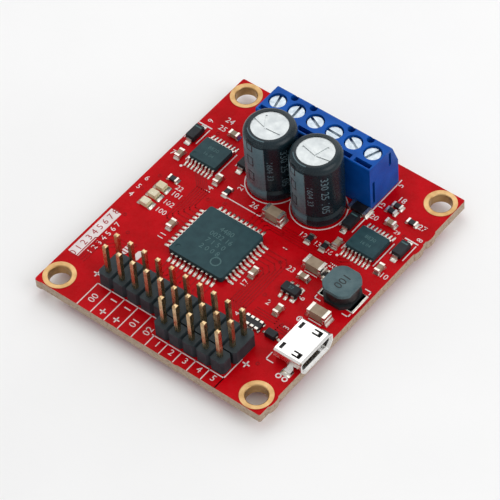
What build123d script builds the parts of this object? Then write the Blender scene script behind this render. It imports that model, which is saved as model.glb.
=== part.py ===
from build123d import *
from math import cos, radians, sin
import os

# Two-channel motor and servo driver board, every piece a separate solid in one frame.
# Millimetres. +X runs along the pin-header edge, +Y towards the screw terminals, +Z up.
# Origin: centre of the four mounting holes, on the board's underside.

os.makedirs("parts", exist_ok=True)

# ---- board ----
BOARD_X = 41.5
BOARD_Y = 48.3
TOP = 1.6                      # laminate thickness, so also the height of the top face
CORNER_R = 0.3
HOLE_X = BOARD_X - 5.1         # mounting-hole spacing
HOLE_Y = BOARD_Y - 5.1
HOLE_R = 1.65                  # finished hole, clears an M3 screw
PLATING = 0.1                  # barrel wall
BORE_R = HOLE_R + PLATING
RING_R = 2.5
RING_PROUD = 0.08
LIP = 0.25                     # broken edge at each mouth of a plated hole
STUB_PROUD = 0.3               # break-off stubs left along the panel edges
STUB_HALF = 1.1
STUBS_RIGHT = (-21.1, 12.7, 15.6)
STUBS_FRONT = (-20.1, 5.4)

# ---- through-hole tails ----
TAIL = 1.4                     # how far pins stand out below the board
SOLDER_H = 0.8
SOLDER_GAP = 0.02              # solder column inside its hole

# ---- pin header, 2.54 mm grid ----
GRID = 2.54
COLUMNS = 10
SHORT_COLUMNS = 5
HEADER_X = -0.05               # centre of the two-row header
ROW_B = -18.18                 # centre line of its front row
ROW_C = ROW_B + GRID
ROW_A = -20.64                 # centre line of the one-row header
SHORT_SHIFT = -0.3             # the one-row header sits a little to the left
PIN = 0.64
PIN_TOP = 8.2                  # above the board's top face
PIN_TIP = 0.17
PIN_HOLE_R = 0.5
SHROUD_H = 2.5                 # plastic height
SHROUD_HALF = 1.12             # plastic reaches this far beyond a row's centre line
SHROUD_CUT = 0.42              # corner cut of each column
GROOVE = 0.5                   # groove between two columns

# ---- screw terminals ----
POLES = 3                      # per housing
POLE = 3.5                     # pitch
BLOCK_X = 0.2                  # where the two housings meet
BLOCK_FRONT = 14.6
BLOCK_CREST = 20.05            # back edge of the flat top
BLOCK_BACK = 21.4
BLOCK_H = 8.65
BLOCK_KNEE = 5.0               # height where the back slope starts
SCREW_Y = 17.7
WELL_R = 1.42
WELL_Z = 7.4
LEDGE_Z = 7.1                  # roof of the clamp's chamber
HEAD_R = 1.32
HEAD_Z = 7.45
HEAD_H = 0.9
HEAD_ROUND = 0.15
SHANK_R = 0.8
SHANK_CUT = 0.2                # chamfer at the tip
SHANK_PLAY = 0.1               # round the shank, in the housing
SHANK_TIP_Z = 4.95
DRIVE_SLOT = 0.42
SLOT_DEPTH = 0.5
SLOT_ANGLES = (104, 94, 156, 178, 153, 68)
CAGE_X = 2.6                   # rising clamp, outside
CAGE_Y = 2.8
CAGE_H = 3.6
CAGE_Z = 1.9                   # underside when the clamp is fully open
CAGE_WALL = 0.4
CAGE_ROUND = 0.25
CAGE_PLAY = 0.05               # round the shank, in the clamp
CHAMBER_X = 2.9
CHAMBER_Y = 3.2
ENTRY_X = 2.6                  # wire entry in the back wall
ENTRY_TOP = 4.7
CHIMNEY_Y = 15.3               # slots along the front edge of the top
CHIMNEY = 0.8
CHAMFER = 0.12                 # along the top edges of a housing
CONTACT_T = 0.45
CONTACT_Z = 4.4
TONGUE_X = 1.4                 # contact tongue inside its clamp
TONGUE_PAST = 1.2              # how far it runs past the screw
WINDOW_X = 1.6                 # opening that the tongue passes through
WINDOW_GAP = 0.1
PROBE_R = 0.6                  # test-probe holes between the poles
PROBE_Y = 19.55
PROBE_DEPTH = 1.3
RIB = 0.3                      # interlocking ribs on a housing's left end
RIB_FIT = 0.1                  # play of a rib in its groove, all round
RIBS = ((15.45, 0.7, 5.4), (19.45, 5.4, 8.1))
LEG_X = 1.0
LEG_Y = 0.6
LEG_HOLE_R = 0.7

# ---- radial electrolytic capacitors ----
CAN_PLACES = {"a": (-4.15, 10.55), "b": (4.25, 10.55)}
CAN_R = 3.85
CAN_TOP = 12.35
CAN_BASE = 0.35
CAN_WALL = 0.3
CAN_ROUND = 0.95
BEAD_Z = 2.1
BEAD_DEPTH = 0.3
BEAD_HALF = 0.55
SLEEVE = 0.15
SLEEVE_MOUTH_R = 2.83
LEAD_R = 0.28
LEAD_PITCH = 3.5
LEAD_HOLE_R = 0.45
LEAD_INSIDE = 1.6              # length of a lead above the board
SEAL_H = 2.0
VENT_REACH = 1.3               # half length of each score in a can's top
VENT_Y = -0.8                  # where the three scores meet
VENT_W = 0.3
VENT_DEPTH = 0.12
VENT_ANGLES = {"a": (122, 4, 166), "b": (74, 168, 10)}
VENT_SHIFT = {"a": -0.3, "b": 0.35}

# ---- chips: centre, body size, lead rows ----
MCU = (-3.22, -4.08)
DRIVERS = {"a": (-14.72, 8.9), "b": (14.48, 8.9)}
REGULATOR = (10.8, -4.35)
DIODES = ((-19.4, 10.9), (-9.55, 10.9), (9.9, 10.9), (19.0, 10.9))
SIGNAL_DIODE = (13.45, -12.25)
EMBED = 0.35                   # length of a lead inside the moulding
STANDOFF = 0.1
MCU_SIZE = 10.0
MCU_H = 1.1
DRIVER_X = 5.0
DRIVER_Y = 4.4
DRIVER_H = 1.05
DIMPLE_DEPTH = 0.06            # pin-1 dimple

# ---- chip components ----
CAP_LIP = 0.04                 # thickness of a tinned end cap
LARGE_CERAMICS = ((0.25, 5.15, 0), (10.95, 1.05, 0), (16.8, -5.55, 0))
SMALL_CERAMICS = (
    (-14.5, 14.15, 0), (-18.75, 6.45, 90), (-10.9, 5.85, 90), (10.75, 6.5, 90), (10.65, -1.3, 0),
    (-11.0, -4.85, 90), (4.35, -4.85, 90), (11.45, -8.15, 90), (14.75, 14.05, 0), (18.55, 6.35, 90),
)
SMALL_RESISTORS = (
    (-8.35, 4.85, 90), (6.95, 4.95, 90), (9.55, 5.05, 90), (13.3, 0.95, 90), (-16.45, 2.15, 0),
    (13.35, 16.1, 0), (13.55, 17.35, 0), (17.15, 16.05, 0),
)
LARGE_RESISTOR = ((9.35, 13.7, 0),)
RESISTOR_ARRAY = (9.85, -12.05)
ARRAY_X = 3.28
ARRAY_Y = 1.6
ARRAY_H = 0.5
ARRAY_PITCH = 0.8
ARRAY_PAD_Y = 0.65             # centre line of each row of end caps
LEDS = ((-16.75, -0.05), (-16.75, -1.85), (-16.75, -3.75))
LED_X = 2.0
LED_Y = 1.25
LED_BASE = 0.3
LENS_X = 1.4
LENS_Y = 1.2
LENS_H = 0.42
LENS_SHIFT = -0.15

# ---- power inductor ----
COIL = (17.05, -0.4)
COIL_X = 5.8
COIL_Y = 5.2
COIL_H = 3.2
FLANGE = 0.6
FLANGE_R = 2.85
FLANGE_FLAT = 4.9
FLANGE_ROUND = 0.12
FOOT_T = 0.12                  # soldered plates below the core
FOOT_X = 1.0
FOOT_Y = 3.6
BASE_H = 0.6
BASE_CUT = 1.1                 # corner cut of the core's lower flange
POST_R = 1.3
WINDING_R = 2.4

# ---- micro-USB socket ----
USB_Y = -11.85
USB_REAR = 16.3
USB_LIP = 20.95                # where the flare starts
USB_FLARE = 0.4
USB_W = 6.9
USB_W_LOW = 5.5
USB_H = 2.55
USB_WALL = 0.28
USB_LOW = 0.05                 # gap between the shell and the board
USB_SHOULDER = 1.05            # height where the section becomes narrower
USB_ROUND = 0.45
USB_PINS = 5
USB_PIN_PITCH = 0.65
USB_PIN_W = 0.3
USB_PIN_T = 0.14
USB_PIN_Z = 1.02               # underside of the blades inside the socket
USB_BLADE_T = 0.12
USB_PIN_REAR = 15.75
USB_PIN_FRONT = 20.3
USB_LEG_X = 19.2
USB_LEG = 1.1
USB_LEG_H = 1.3
USB_FOOT_Y = 1.0
USB_FOOT_T = 0.25
LATCH_X = 19.65                # spring fingers in the shell's top
LATCH_Y = 4.7                  # distance between the two
TONGUE_L = 3.1                 # plastic tongue that carries the blades
TONGUE_W = 3.7
TONGUE_T = 0.55


def on_board(x=0.0, y=0.0, z=0.0):
    """Horizontal plane at height z above the board's top face."""
    return Plane(origin=(x, y, TOP + z))


def facing_x(x=0.0, y=0.0, z=0.0):
    """Upright plane whose local x is +Y, local y is +Z, and whose normal is +X."""
    return Plane(origin=(x, y, TOP + z), x_dir=(0, 1, 0), z_dir=(1, 0, 0))


def facing_y(x=0.0, y=0.0, z=0.0):
    """Upright plane whose local x is +X, local y is +Z, and whose normal is -Y."""
    return Plane(origin=(x, y, TOP + z), x_dir=(1, 0, 0), z_dir=(0, -1, 0))


def row(count, pitch, centre):
    """Positions of a centred row."""
    return [centre + (i - (count - 1) / 2) * pitch for i in range(count)]


HEADER_COLUMNS = row(COLUMNS, GRID, HEADER_X)
SHORT_HEADER_COLUMNS = [x + SHORT_SHIFT for x in HEADER_COLUMNS[COLUMNS - SHORT_COLUMNS:]]
DUAL_PINS = [(x, y) for y in (ROW_B, ROW_C) for x in HEADER_COLUMNS]
SINGLE_PINS = [(x, ROW_A) for x in SHORT_HEADER_COLUMNS]
SCREW_X = row(2 * POLES, POLE, BLOCK_X)
CONTACT_LEGS = [(x, CHIMNEY_Y) for x in SCREW_X]
CAN_LEADS = [(x, y + s * LEAD_PITCH / 2) for x, y in CAN_PLACES.values() for s in (-1, 1)]
MOUNT_HOLES = [(sx * HOLE_X / 2, sy * HOLE_Y / 2) for sx in (-1, 1) for sy in (-1, 1)]


# ======== circuit board ========
with BuildPart() as board:
    with BuildSketch(Plane.XY) as outline:
        Rectangle(BOARD_X, BOARD_Y)
        fillet(outline.vertices(), CORNER_R)
        with Locations(*[(BOARD_X / 2, y) for y in STUBS_RIGHT]):
            Ellipse(STUB_PROUD, STUB_HALF)
        with Locations(*[(x, -BOARD_Y / 2) for x in STUBS_FRONT]):
            Ellipse(STUB_HALF / 2, STUB_PROUD / 2)
        with Locations(*DUAL_PINS, *SINGLE_PINS):
            Circle(PIN_HOLE_R, mode=Mode.SUBTRACT)
        with Locations(*CONTACT_LEGS):
            Circle(LEG_HOLE_R, mode=Mode.SUBTRACT)
        with Locations(*CAN_LEADS):
            Circle(LEAD_HOLE_R, mode=Mode.SUBTRACT)
    extrude(amount=TOP)
    with Locations(*MOUNT_HOLES):
        Hole(BORE_R)
    round_edges = board.edges().filter_by(GeomType.CIRCLE)
    chamfer(round_edges.filter_by(lambda edge: abs(edge.radius - BORE_R) < 0.01), LIP)
board.part.label = "circuit_board"
export_step(board.part, "parts/circuit_board.step")


def plated_ring(x, y):
    """Barrel and both rings of one plated hole, inside the current part."""
    low = -RING_PROUD
    high = TOP + RING_PROUD
    with BuildSketch(Plane(origin=(x, y, 0), x_dir=(1, 0, 0), z_dir=(0, -1, 0))) as section:
        with BuildLine():
            Polyline(
                (BORE_R, LIP), (BORE_R, TOP - LIP), (BORE_R + LIP, TOP), (RING_R, TOP), (RING_R, high),
                (HOLE_R + LIP, high),
            )
            RadiusArc((HOLE_R + LIP, high), (HOLE_R, high - LIP), -LIP)
            Line((HOLE_R, high - LIP), (HOLE_R, low + LIP))
            RadiusArc((HOLE_R, low + LIP), (HOLE_R + LIP, low), -LIP)
            Polyline((HOLE_R + LIP, low), (RING_R, low), (RING_R, 0), (BORE_R + LIP, 0), (BORE_R, LIP))
        make_face()
    revolve(section.sketch, axis=Axis((x, y, 0), (0, 0, 1)))


with BuildPart() as rings:
    for hole_x, hole_y in MOUNT_HOLES:
        plated_ring(hole_x, hole_y)
rings.part.label = "mounting_hole_rings"
export_step(rings.part, "parts/mounting_hole_rings.step")


# ======== pin header ========
def square_pins(places):
    """Square pins with tapered ends, inside the current part."""
    with BuildSketch(Plane.XY.offset(-TAIL)) as squares:
        with Locations(*places):
            Rectangle(PIN, PIN)
    pins = extrude(squares.sketch, amount=TAIL + TOP + PIN_TOP)
    ends = pins.faces().filter_by(Axis.Z)
    chamfer(ends.edges(), PIN_TIP)


with BuildPart() as dual_pins:
    square_pins(DUAL_PINS)
dual_pins.part.label = "header_pins_dual"
export_step(dual_pins.part, "parts/header_pins_dual.step")

with BuildPart() as single_pins:
    square_pins(SINGLE_PINS)
single_pins.part.label = "header_pins_single"
export_step(single_pins.part, "parts/header_pins_single.step")


def shroud(columns, front, back, pins):
    """Header plastic: corner-cut columns side by side, with a groove between them."""
    depth = back - front
    middle = (front + back) / 2
    half = GRID / 2
    with BuildSketch(on_board(0, middle)) as outline:
        for x in columns:
            with BuildLine():
                Polyline(
                    (x - half, -depth / 2 + SHROUD_CUT), (x - half + SHROUD_CUT, -depth / 2),
                    (x + half - SHROUD_CUT, -depth / 2), (x + half, -depth / 2 + SHROUD_CUT),
                    (x + half, depth / 2 - SHROUD_CUT), (x + half - SHROUD_CUT, depth / 2),
                    (x - half + SHROUD_CUT, depth / 2), (x - half, depth / 2 - SHROUD_CUT), close=True,
                )
            make_face()
    extrude(outline.sketch, amount=SHROUD_H)
    with BuildSketch(facing_y(0, back + 1, SHROUD_H)) as grooves:
        for x in columns[1:]:
            with BuildLine():
                Polyline(
                    (x - half - GROOVE / 2, 0), (x - half, -GROOVE), (x - half + GROOVE / 2, 0),
                    (x - half + GROOVE / 2, 1), (x - half - GROOVE / 2, 1), close=True,
                )
            make_face()
    extrude(grooves.sketch, amount=depth + 2, mode=Mode.SUBTRACT)
    add(pins, mode=Mode.SUBTRACT)


with BuildPart() as dual_shroud:
    shroud(HEADER_COLUMNS, ROW_B - SHROUD_HALF, ROW_C + SHROUD_HALF, dual_pins.part)
dual_shroud.part.label = "header_housing_dual"
export_step(dual_shroud.part, "parts/header_housing_dual.step")

with BuildPart() as single_shroud:
    shroud(SHORT_HEADER_COLUMNS, ROW_A - SHROUD_HALF, ROW_A + SHROUD_HALF, single_pins.part)
single_shroud.part.label = "header_housing_single"
export_step(single_shroud.part, "parts/header_housing_single.step")


# ======== screw terminals ========
with BuildPart() as contacts:
    with BuildSketch(Plane.XY.offset(-TAIL)):
        with Locations(*CONTACT_LEGS):
            Rectangle(LEG_X, LEG_Y)
    extrude(amount=TAIL + TOP + CONTACT_Z + CONTACT_T)
    tongue_back = SCREW_Y + TONGUE_PAST
    tongue_front = CHIMNEY_Y - LEG_Y / 2
    with BuildSketch(on_board(0, (tongue_front + tongue_back) / 2, CONTACT_Z)):
        with Locations(*[(x, 0) for x in SCREW_X]):
            Rectangle(TONGUE_X, tongue_back - tongue_front)
    extrude(amount=CONTACT_T)
contacts.part.label = "terminal_contacts"
export_step(contacts.part, "parts/terminal_contacts.step")


def terminal_housing(left, poles_x):
    """One three-way housing whose left end is at x = left."""
    length = POLES * POLE
    right = left + length
    with BuildSketch(facing_x(left)) as profile:
        with BuildLine():
            Polyline(
                (BLOCK_FRONT, 0), (BLOCK_FRONT, BLOCK_H), (BLOCK_CREST, BLOCK_H),
                (BLOCK_BACK - 0.05, BLOCK_KNEE), (BLOCK_BACK, 0), close=True,
            )
        make_face()
    body = extrude(profile.sketch, amount=length)
    chamfer(body.edges().filter_by(Axis.X).group_by(Axis.Z)[-1], CHAMFER)
    # clamp chambers, open to the board
    with BuildSketch(on_board(0, SCREW_Y)) as shape:
        with Locations(*[(x, 0) for x in poles_x]):
            Rectangle(CHAMBER_X, CHAMBER_Y)
    extrude(shape.sketch, amount=LEDGE_Z, mode=Mode.SUBTRACT)
    # holes for the shanks, and wells for the heads
    with BuildSketch(on_board(0, SCREW_Y)) as shape:
        with Locations(*[(x, 0) for x in poles_x]):
            Circle(SHANK_R + SHANK_PLAY)
    extrude(shape.sketch, amount=BLOCK_H, mode=Mode.SUBTRACT)
    with BuildSketch(on_board(0, SCREW_Y, WELL_Z)) as shape:
        with Locations(*[(x, 0) for x in poles_x]):
            Circle(WELL_R)
    extrude(shape.sketch, amount=BLOCK_H, mode=Mode.SUBTRACT)
    # wire entries through the back wall
    with BuildSketch(facing_y(0, BLOCK_BACK + 1, (CAGE_Z + ENTRY_TOP) / 2)) as shape:
        with Locations(*[(x, 0) for x in poles_x]):
            Rectangle(ENTRY_X, ENTRY_TOP - CAGE_Z)
    extrude(shape.sketch, amount=BLOCK_BACK + 1 - SCREW_Y, mode=Mode.SUBTRACT)
    # slots down to the solder legs, and the window that each contact passes through
    with BuildSketch(on_board(0, CHIMNEY_Y)) as shape:
        with Locations(*[(x, 0) for x in poles_x]):
            Rectangle(CHAMBER_X, CHIMNEY)
    extrude(shape.sketch, amount=BLOCK_H + 1, mode=Mode.SUBTRACT)
    with BuildSketch(on_board(0, (CHIMNEY_Y + SCREW_Y) / 2, CONTACT_Z - WINDOW_GAP)) as shape:
        with Locations(*[(x, 0) for x in poles_x]):
            Rectangle(WINDOW_X, SCREW_Y - CHIMNEY_Y)
    extrude(shape.sketch, amount=CONTACT_T + 2 * WINDOW_GAP, mode=Mode.SUBTRACT)
    # test-probe holes between the poles
    with BuildSketch(on_board(0, PROBE_Y, BLOCK_H - PROBE_DEPTH)) as shape:
        with Locations(*[(x + POLE / 2, 0) for x in poles_x[:-1]]):
            Circle(PROBE_R)
    extrude(shape.sketch, amount=2 * PROBE_DEPTH, mode=Mode.SUBTRACT)
    # interlock: ribs on the left end, grooves for the next housing's ribs on the right end
    for y, low, high in RIBS:
        with BuildSketch(facing_x(left - RIB, y, (low + high) / 2)) as shape:
            Rectangle(RIB, high - low - 2 * RIB_FIT)
        extrude(shape.sketch, amount=RIB)
        with BuildSketch(facing_x(right - RIB - RIB_FIT, y, (low + high) / 2)) as shape:
            Rectangle(RIB + 2 * RIB_FIT, high - low)
        extrude(shape.sketch, amount=RIB + 2 * RIB_FIT, mode=Mode.SUBTRACT)


for index, letter in enumerate("ab"):
    first = index * POLES
    with BuildPart() as housing:
        terminal_housing(BLOCK_X + (index - 1) * POLES * POLE, SCREW_X[first:first + POLES])
    housing.part.label = f"terminal_housing_{letter}"
    export_step(housing.part, f"parts/terminal_housing_{letter}.step")

for index, x in enumerate(SCREW_X):
    with BuildPart() as screw:
        with BuildSketch(on_board(x, SCREW_Y, HEAD_Z)):
            Circle(HEAD_R)
        head = extrude(amount=HEAD_H)
        fillet(head.edges().filter_by(GeomType.CIRCLE).group_by(Axis.Z)[-1], HEAD_ROUND)
        with BuildSketch(on_board(x, SCREW_Y, SHANK_TIP_Z)):
            Circle(SHANK_R)
        extrude(amount=HEAD_Z - SHANK_TIP_Z)
        tip = screw.edges().filter_by(GeomType.CIRCLE).group_by(Axis.Z)[0]
        chamfer(tip, SHANK_CUT)
        with BuildSketch(on_board(x, SCREW_Y, HEAD_Z + HEAD_H)):
            Rectangle(3 * HEAD_R, DRIVE_SLOT, rotation=SLOT_ANGLES[index])
        extrude(amount=-SLOT_DEPTH, mode=Mode.SUBTRACT)
    screw.part.label = f"terminal_screw_{index + 1}"
    export_step(screw.part, f"parts/terminal_screw_{index + 1}.step")

    with BuildPart() as cage:
        with BuildSketch(facing_y(x, SCREW_Y + CAGE_Y / 2, CAGE_Z + CAGE_H / 2)):
            RectangleRounded(CAGE_X, CAGE_H, CAGE_ROUND)
            Rectangle(CAGE_X - 2 * CAGE_WALL, CAGE_H - 2 * CAGE_WALL, mode=Mode.SUBTRACT)
        extrude(amount=CAGE_Y)
        with BuildSketch(on_board(x, SCREW_Y, CAGE_Z + CAGE_H - 2 * CAGE_WALL)):
            Circle(SHANK_R + CAGE_PLAY)
        extrude(amount=3 * CAGE_WALL, mode=Mode.SUBTRACT)
    cage.part.label = f"terminal_clamp_{index + 1}"
    export_step(cage.part, f"parts/terminal_clamp_{index + 1}.step")


# ======== electrolytic capacitors ========
def can_outline(grow, mode=Mode.ADD):
    """Half section of the can's outside, grown by the sleeve's thickness if asked."""
    r = CAN_R + grow
    top = CAN_TOP + grow
    with BuildLine() as wire:
        Polyline(
            (0, CAN_BASE), (r, CAN_BASE), (r, BEAD_Z - BEAD_HALF), (r - BEAD_DEPTH, BEAD_Z),
            (r, BEAD_Z + BEAD_HALF), (r, top), (0, top), close=True,
        )
        shoulder = wire.vertices().filter_by(lambda v: v.X > r - 0.01 and v.Y > top - 0.01)
        fillet(shoulder, CAN_ROUND + grow)
    make_face(wire.edges(), mode=mode)


for letter, (x, y) in CAN_PLACES.items():
    axis = Axis((x, y, 0), (0, 0, 1))

    with BuildPart() as can:
        with BuildSketch(facing_y(x, y)):
            can_outline(0)
            with Locations((0, (CAN_BASE + CAN_TOP) / 2 - CAN_WALL)):
                Rectangle(2 * (CAN_R - CAN_WALL - BEAD_DEPTH), CAN_TOP - CAN_BASE, mode=Mode.SUBTRACT)
        revolve(axis=axis)
        # pressure-relief score in the top
        with BuildSketch(on_board(x, y, CAN_TOP)):
            for angle in VENT_ANGLES[letter]:
                along = VENT_SHIFT[letter] + VENT_REACH * cos(radians(angle))
                across = VENT_Y + VENT_REACH * sin(radians(angle))
                with Locations((along, across)):
                    Rectangle(2 * VENT_REACH, VENT_W, rotation=angle)
        extrude(amount=-VENT_DEPTH, mode=Mode.SUBTRACT)
    can.part.label = f"capacitor_{letter}_can"
    export_step(can.part, f"parts/capacitor_{letter}_can.step")

    with BuildPart() as sleeve:
        with BuildSketch(facing_y(x, y)):
            can_outline(SLEEVE)
            can_outline(0, Mode.SUBTRACT)
            with Locations((0, CAN_TOP)):
                Rectangle(2 * SLEEVE_MOUTH_R, 2, mode=Mode.SUBTRACT)
        revolve(axis=axis)
    sleeve.part.label = f"capacitor_{letter}_sleeve"
    export_step(sleeve.part, f"parts/capacitor_{letter}_sleeve.step")

    with BuildPart() as wires:
        with BuildSketch(Plane(origin=(x, y, -TAIL))):
            with GridLocations(0, LEAD_PITCH, 1, 2):
                Circle(LEAD_R)
        extrude(amount=TAIL + TOP + LEAD_INSIDE)
    wires.part.label = f"capacitor_{letter}_leads"
    export_step(wires.part, f"parts/capacitor_{letter}_leads.step")

    with BuildPart() as seal:
        with BuildSketch(on_board(x, y)):
            Circle(CAN_R - CAN_WALL - BEAD_DEPTH)
        extrude(amount=SEAL_H)
        add(wires.part, mode=Mode.SUBTRACT)
    seal.part.label = f"capacitor_{letter}_seal"
    export_step(seal.part, f"parts/capacitor_{letter}_seal.step")


# ======== solder on the through-hole pins ========
def solder_cones(places, hole_r, foot_r, tip_r):
    """Solder below the board and inside its holes, inside the current part."""
    with BuildSketch(Plane.XY) as columns:
        with Locations(*places):
            Circle(hole_r - SOLDER_GAP)
    extrude(columns.sketch, amount=TOP)
    steps = ((0.0, foot_r), (0.3 * SOLDER_H, (foot_r + tip_r) / 2), (SOLDER_H, tip_r))
    for (depth, wide), (deeper, narrow) in zip(steps, steps[1:]):
        with Locations(*[(x, y, -(depth + deeper) / 2) for x, y in places]):
            Cone(narrow, wide, deeper - depth)


with BuildPart() as solder:
    solder_cones(DUAL_PINS + SINGLE_PINS, PIN_HOLE_R, foot_r=0.9, tip_r=0.5)
    solder_cones(CONTACT_LEGS, LEG_HOLE_R, foot_r=1.2, tip_r=0.68)
    solder_cones(CAN_LEADS, LEAD_HOLE_R, foot_r=0.9, tip_r=0.4)
    for through in (dual_pins, single_pins, contacts):
        add(through.part, mode=Mode.SUBTRACT)
    with BuildSketch(Plane.XY.offset(-TAIL)):
        with Locations(*CAN_LEADS):
            Circle(LEAD_R)
    extrude(amount=TAIL + TOP, mode=Mode.SUBTRACT)
solder.part.label = "solder_joints"
export_step(solder.part, "parts/solder_joints.step")


# ======== moulded chips ========
def gull_section(half, toe, rise, thick, foot):
    """Section of one bent lead, from inside the moulding out to its toe, on the current sketch."""
    knee = (toe - half - foot) * 0.45
    skew = 0.5 * thick
    with BuildLine() as wire:
        Polyline(
            (half - EMBED, rise - thick / 2), (half + knee, rise - thick / 2), (toe - foot, 0), (toe, 0),
            (toe, thick), (toe - foot + skew, thick), (half + knee + skew, rise + thick / 2),
            (half - EMBED, rise + thick / 2), close=True,
        )
    make_face(wire.edges())


def bent_leads(place, half, toe, count, pitch, width, rise=0.55, thick=0.14, foot=0.55, sides="y"):
    """Rows of gull-wing leads on opposite sides, inside the current part."""
    run = (count - 1) * pitch / 2 + width
    x, y = place
    for upright, wanted in ((facing_x(x, y), "y"), (facing_y(x, y), "x")):
        if wanted in sides:
            with BuildSketch(upright) as section:
                gull_section(half, toe, rise, thick, foot)
                mirror(about=Plane.YZ)
            extrude(section.sketch, amount=run, both=True)
    with BuildSketch(on_board(x, y)) as comb:
        if "y" in sides:
            with GridLocations(pitch, 0, count, 1):
                Rectangle(width, 3 * toe)
        if "x" in sides:
            with GridLocations(0, pitch, 1, count):
                Rectangle(3 * toe, width)
    extrude(comb.sketch, amount=2 * rise + 1, mode=Mode.INTERSECT)


def moulding(place, size_x, size_y, height, leads, rise=0.55, draft=8, corner=0.15):
    """Moulded body with drafted sides, split at the height of its leads."""
    x, y = place
    for amount in (height - rise, STANDOFF - rise):
        with BuildSketch(on_board(x, y, rise)) as section:
            Rectangle(size_x, size_y)
            chamfer(section.vertices(), corner)
        extrude(section.sketch, amount=amount, taper=draft)
    add(leads, mode=Mode.SUBTRACT)


with BuildPart() as mcu_leads:
    bent_leads(MCU, half=MCU_SIZE / 2, toe=6.0, count=11, pitch=0.8, width=0.36, sides="xy")
mcu_leads.part.label = "microcontroller_leads"
export_step(mcu_leads.part, "parts/microcontroller_leads.step")

with BuildPart() as mcu:
    moulding(MCU, MCU_SIZE, MCU_SIZE, MCU_H, mcu_leads.part, corner=0.3)
    with BuildSketch(on_board(MCU[0], MCU[1], MCU_H)):
        with Locations((-3.9, -3.9)):
            Circle(0.45)
    extrude(amount=-DIMPLE_DEPTH, mode=Mode.SUBTRACT)
mcu.part.label = "microcontroller_body"
export_step(mcu.part, "parts/microcontroller_body.step")

for letter, place in DRIVERS.items():
    with BuildPart() as driver_leads:
        bent_leads(place, half=DRIVER_Y / 2, toe=3.2, count=8, pitch=0.65, width=0.27)
    driver_leads.part.label = f"motor_driver_{letter}_leads"
    export_step(driver_leads.part, f"parts/motor_driver_{letter}_leads.step")

    with BuildPart() as driver:
        moulding(place, DRIVER_X, DRIVER_Y, DRIVER_H, driver_leads.part)
        with BuildSketch(on_board(place[0], place[1], DRIVER_H)):
            with Locations((-1.9, -1.5)):
                Circle(0.3)
        extrude(amount=-DIMPLE_DEPTH, mode=Mode.SUBTRACT)
    driver.part.label = f"motor_driver_{letter}_body"
    export_step(driver.part, f"parts/motor_driver_{letter}_body.step")

with BuildPart() as regulator_leads:
    bent_leads(REGULATOR, half=0.8, toe=1.45, count=3, pitch=0.95, width=0.42, foot=0.4)
regulator_leads.part.label = "regulator_leads"
export_step(regulator_leads.part, "parts/regulator_leads.step")

with BuildPart() as regulator:
    moulding(REGULATOR, size_x=2.9, size_y=1.6, height=1.1, leads=regulator_leads.part)
regulator.part.label = "regulator_body"
export_step(regulator.part, "parts/regulator_body.step")

diode_leads = []
for place in DIODES:
    with BuildPart() as diode_pair:
        bent_leads(place, half=1.4, toe=1.9, count=1, pitch=1, width=0.95, rise=0.5, foot=0.3)
    diode_leads.append(diode_pair.part)

with BuildPart() as all_diode_leads:
    for pair in diode_leads:
        add(pair)
all_diode_leads.part.label = "power_diode_leads"
export_step(all_diode_leads.part, "parts/power_diode_leads.step")

with BuildPart() as diodes:
    for place, pair in zip(DIODES, diode_leads):
        moulding(place, size_x=1.6, size_y=2.8, height=1.1, leads=pair, rise=0.5, corner=0.08)
diodes.part.label = "power_diode_bodies"
export_step(diodes.part, "parts/power_diode_bodies.step")

with BuildPart() as signal_leads:
    bent_leads(SIGNAL_DIODE, half=0.9, toe=1.3, count=1, pitch=1, width=0.35, rise=0.45, foot=0.25, sides="x")
signal_leads.part.label = "signal_diode_leads"
export_step(signal_leads.part, "parts/signal_diode_leads.step")

with BuildPart() as signal_diode:
    moulding(
        SIGNAL_DIODE, size_x=1.8, size_y=1.25, height=0.95, leads=signal_leads.part, rise=0.45, corner=0.08,
    )
signal_diode.part.label = "signal_diode_body"
export_step(signal_diode.part, "parts/signal_diode_body.step")


# ======== chip components ========
def bricks(places, length, width, height):
    """Plain chip bodies, lifted by the thickness of their end caps."""
    with BuildSketch(on_board(0, 0, CAP_LIP)) as plan:
        for x, y, turn in places:
            with Locations((x, y)):
                Rectangle(length - 2 * CAP_LIP, width, rotation=turn)
    extrude(plan.sketch, amount=height)


def end_caps(places, length, width, height, cap, body):
    """Tinned caps around both ends of each chip body."""
    with BuildSketch(on_board()) as plan:
        for x, y, turn in places:
            for side in (-1, 1):
                along = side * (length - cap) / 2
                spot = (x + along * cos(radians(turn)), y + along * sin(radians(turn)))
                with Locations(spot):
                    Rectangle(cap, width + 2 * CAP_LIP, rotation=turn)
    extrude(plan.sketch, amount=height + 2 * CAP_LIP)
    add(body, mode=Mode.SUBTRACT)


CHIPS = {
    "ceramic_capacitors_large": (LARGE_CERAMICS, 3.2, 1.6, 1.5, 0.5),
    "ceramic_capacitors_small": (SMALL_CERAMICS, 1.6, 0.8, 0.75, 0.35),
    "resistors_small": (SMALL_RESISTORS, 1.6, 0.8, 0.42, 0.32),
    "resistor_large": (LARGE_RESISTOR, 3.2, 1.6, 0.55, 0.5),
}
for kind, (places, length, width, height, cap) in CHIPS.items():
    with BuildPart() as chip:
        bricks(places, length, width, height)
    chip.part.label = f"{kind}_body" if len(places) == 1 else f"{kind}_bodies"
    export_step(chip.part, f"parts/{chip.part.label}.step")

    with BuildPart() as caps:
        end_caps(places, length, width, height, cap, chip.part)
    caps.part.label = f"{kind}_ends"
    export_step(caps.part, f"parts/{caps.part.label}.step")

ARRAY_PADS = [
    (x, RESISTOR_ARRAY[1] + side * ARRAY_PAD_Y)
    for x in row(4, ARRAY_PITCH, RESISTOR_ARRAY[0])
    for side in (-1, 1)
]
with BuildPart() as array:
    bricks(((*RESISTOR_ARRAY, 0),), ARRAY_X, ARRAY_Y, ARRAY_H)
array.part.label = "resistor_array_body"
export_step(array.part, "parts/resistor_array_body.step")

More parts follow.
